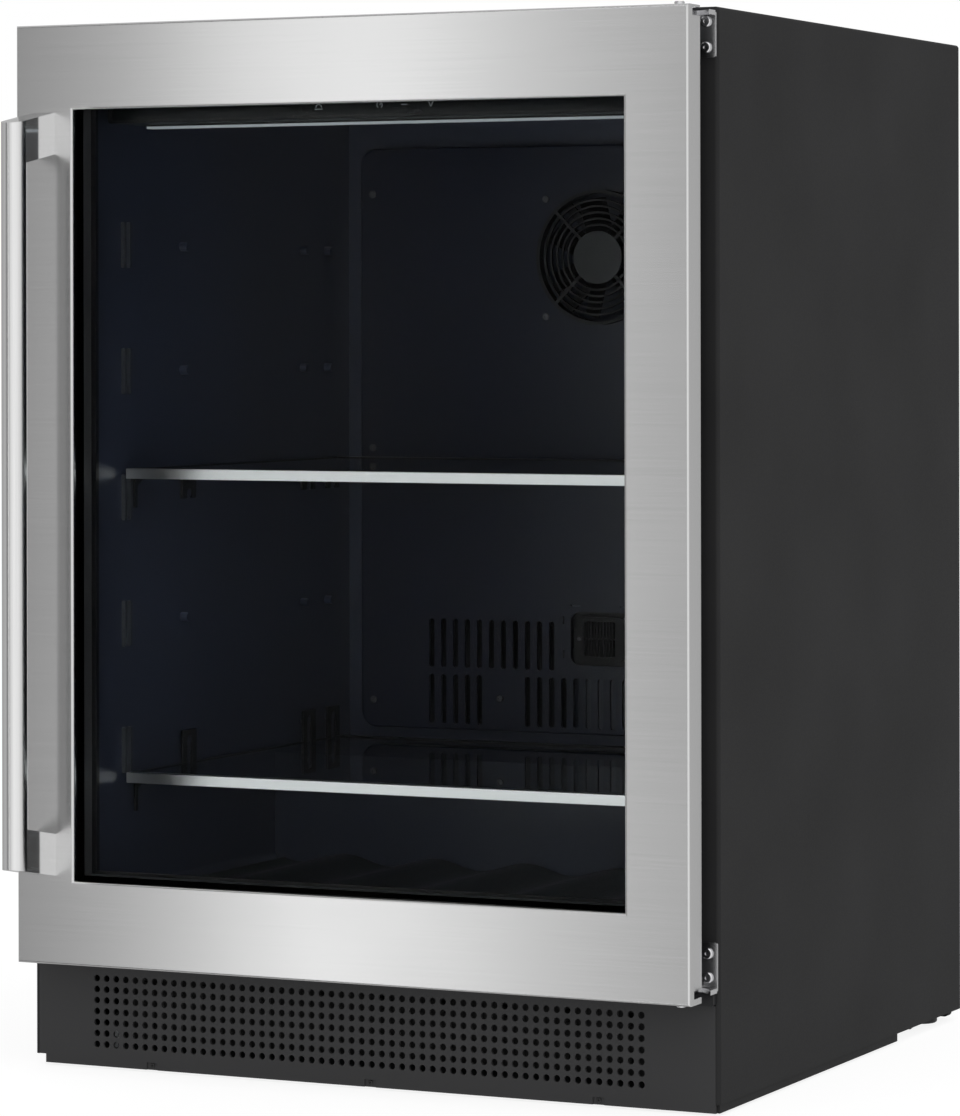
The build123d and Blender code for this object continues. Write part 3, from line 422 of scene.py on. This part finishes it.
def control_icons():
    """Generic marks on the touch panel: a lamp, a dial, a minus and a chevron; in millimetres."""
    low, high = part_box("touch_panel")
    face = low[1] / MM
    below_middle = 6.6
    z = (low[2] + high[2]) / 2 / MM - below_middle
    line, raised = 0.55, 0.12
    lamp_x, lamp_radius, lamp_foot, foot_half = -48.7, 2.6, z - 2.2, 3.6
    dial_x, dial_radius, hand = 6.0, 2.4, 1.4
    minus_x, minus_half = 28.0, 2.8
    chevron_x, chevron_half, chevron_height = 51.6, 2.2, 4.4
    strokes = [
        arc_points(lamp_x, z - 1.0, lamp_radius, 0, 180),
        [(lamp_x - foot_half, lamp_foot), (lamp_x + foot_half, lamp_foot)],
        arc_points(dial_x, z, dial_radius, -60, 240),
        [(dial_x, z), (dial_x + hand, z + hand)],
        [(minus_x - minus_half, z), (minus_x + minus_half, z)],
        [(chevron_x + side * chevron_half, z + side * side * chevron_height - chevron_height / 2)
         for side in (-1, 0, 1)],
    ]
    sheet = bmesh.new()
    for stroke in strokes:
        ribbon(sheet, stroke, line, face, raised)
    ink = coated("icon_ink", (0.42, 0.43, 0.45), 0.5, 300.0, 0.02)
    add_piece("control_icons", finished_mesh("control_icons", sheet), "cabinet", ink)


def guard_hub():
    """Smooth disc just in front of the hub of the fan guard."""
    low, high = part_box("fan_guard")
    centre_x, centre_z = (low[0] + high[0]) / 2, (low[2] + high[2]) / 2
    lead, thickness, radius = 0.4 * MM, 0.6 * MM, 23.3 * MM
    facing = Matrix.Rotation(math.radians(90), 4, "X")
    place = Matrix.Translation((centre_x, low[1] - lead + thickness / 2, centre_z)) @ facing
    sheet = bmesh.new()
    bmesh.ops.create_cone(sheet, cap_ends=True, segments=96, radius1=radius, radius2=radius, depth=thickness,
                          matrix=place)
    plastic = coated("hub_plastic", (0.0155, 0.0170, 0.0185), 0.34, MOULDED_SCALE, MOULDED_RELIEF)
    add_piece("guard_hub", finished_mesh("guard_hub", sheet), "cabinet", plastic)


def vent_painted_shade():
    """Near-black sheets close behind the two groups of air slots, beside the sensor box: painted shade for
    the dark space seen through the slots.
    """
    low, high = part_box("evaporator_cover")
    sensor_low, sensor_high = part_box("sensor_box")
    gap, thickness = 0.2 * MM, 0.6 * MM
    side_margin, sensor_gap = 6.0 * MM, 1.0 * MM
    bottom_margin, slots_top = 3.0 * MM, 102.0 * MM
    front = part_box("fan_guard")[1][1] + gap
    bottom, top = low[2] + bottom_margin, low[2] + slots_top
    spans = ((low[0] + side_margin, sensor_low[0] - sensor_gap),
             (sensor_high[0] + sensor_gap, high[0] - side_margin))
    sheet = bmesh.new()
    for left, right in spans:
        middle = ((left + right) / 2, front + thickness / 2, (bottom + top) / 2)
        size = Matrix.Diagonal((right - left, thickness, top - bottom, 1.0))
        bmesh.ops.create_cube(sheet, size=1.0, matrix=Matrix.Translation(middle) @ size)
    # Near-black sheets: painted shade, so the slots look darker than the cover around them.
    mat = coated("vent_shade_black", (0.0012, 0.0012, 0.0014), 0.9, specular=0.05)
    add_piece("vent_painted_shade", finished_mesh("vent_painted_shade", sheet), "cabinet", mat)


def sweep_around(profile, low, high):
    """Bmesh of a closed rail around a rectangle in the XZ plane, mitred at its corners.

    The profile holds (inset from the outer edge, distance from the front) pairs in metres.
    """
    corners = [((low[0], low[2]), (1, 1)), ((high[0], low[2]), (-1, 1)),
               ((high[0], high[2]), (-1, -1)), ((low[0], high[2]), (1, -1))]
    sheet = bmesh.new()
    loops = []
    for (x, z), (inward_x, inward_z) in corners:
        loops.append([sheet.verts.new((x + inset * inward_x, low[1] + depth, z + inset * inward_z))
                      for inset, depth in profile])
    count = len(profile)
    for here, there in zip(loops, loops[1:] + loops[:1]):
        for k in range(count):
            following = (k + 1) % count
            sheet.faces.new((here[k], here[following], there[following], there[k]))
    return sheet


def door_seal(material):
    """Magnetic door seal with its folded bellows and the flat magnet lip.

    Its outline goes round as (inset in millimetres, share of the seal's depth) pairs.
    """
    low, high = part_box("door_gasket")
    depth = high[1] - low[1]
    lip = [(0.3, 0.97), (0.8, 1.0), (10.6, 1.0), (11.4, 0.97), (11.6, 0.66), (9.8, 0.58),
           (8.6, 0.48), (10.4, 0.36), (11.2, 0.26), (9.6, 0.14), (11.8, 0.08), (11.8, 0.0)]
    foot = [(0.6, 0.0), (0.6, 0.08), (2.4, 0.14), (0.9, 0.26),
            (1.7, 0.36), (3.4, 0.48), (2.2, 0.58), (0.3, 0.66)]
    profile = [(inset * MM, share * depth) for inset, share in lip + foot]
    mesh = finished_mesh("door_seal", sweep_around(profile, low, high))
    piece = add_piece("door_seal", mesh, "door", material, ["door_gasket"])
    rounding = piece.modifiers.new("rounding", "BEVEL")
    rounding.width = 0.25 * MM
    rounding.segments = 2
    rounding.limit_method = "ANGLE"


make_camera()
make_studio()
make_floor()
materials = make_materials()
paint_nodes(materials, special_materials())
control_icons()
guard_hub()
vent_painted_shade()
door_seal(materials["seal_rubber"])
